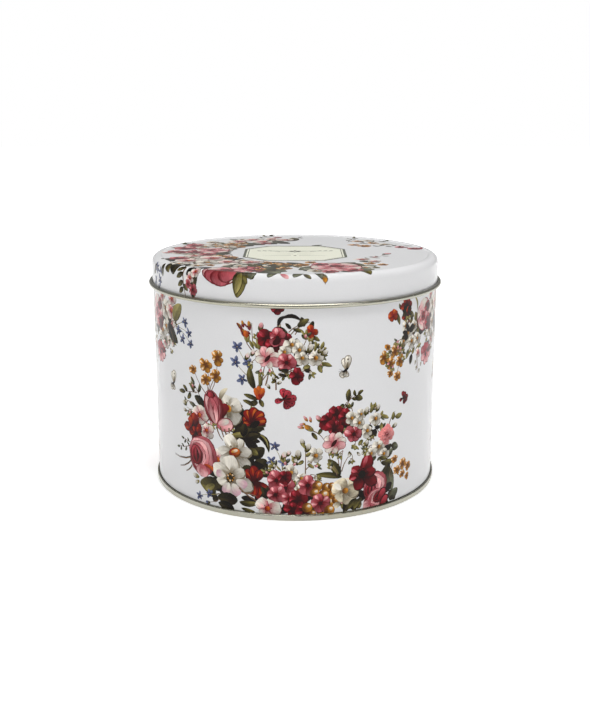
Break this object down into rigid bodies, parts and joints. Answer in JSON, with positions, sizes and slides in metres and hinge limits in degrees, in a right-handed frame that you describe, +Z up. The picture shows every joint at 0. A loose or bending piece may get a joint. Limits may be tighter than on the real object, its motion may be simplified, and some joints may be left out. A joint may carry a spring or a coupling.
{
  "type": "round lithographed tin",
  "caption": "Round slip-lid tin of printed tinplate with a curled lid edge, a curled rim, a folded side seam and a double-seamed bottom.",
  "frame": {"origin": "centre of the circle that the foot of the double seam stands on", "axes": "+Z up along the axis that all three pieces are round about, +X to the right and -Y towards the front, with the folded side seam at the back on +Y"},
  "size_m": [0.1548, 0.1548, 0.121],
  "materials": {
    "printed_wall": "gloss varnish over printed white enamel on tinplate, with the inside left plain",
    "printed_lid": "gloss varnish over printed white enamel on tinplate, with the curl and the inside left plain",
    "plain_tinplate": "bright tinplate under clear lacquer"
  },
  "bodies": {
    "tin": {"body_wall": "printed_wall", "bottom_end": "plain_tinplate"},
    "lid": {"lid": "printed_lid"}
  },
  "joints": [
    {"name": "lid_lift", "type": "slide", "parent": "tin", "child": "lid", "axis": [0, 0, 1], "range_m": [0, 0.12]}
  ]
}
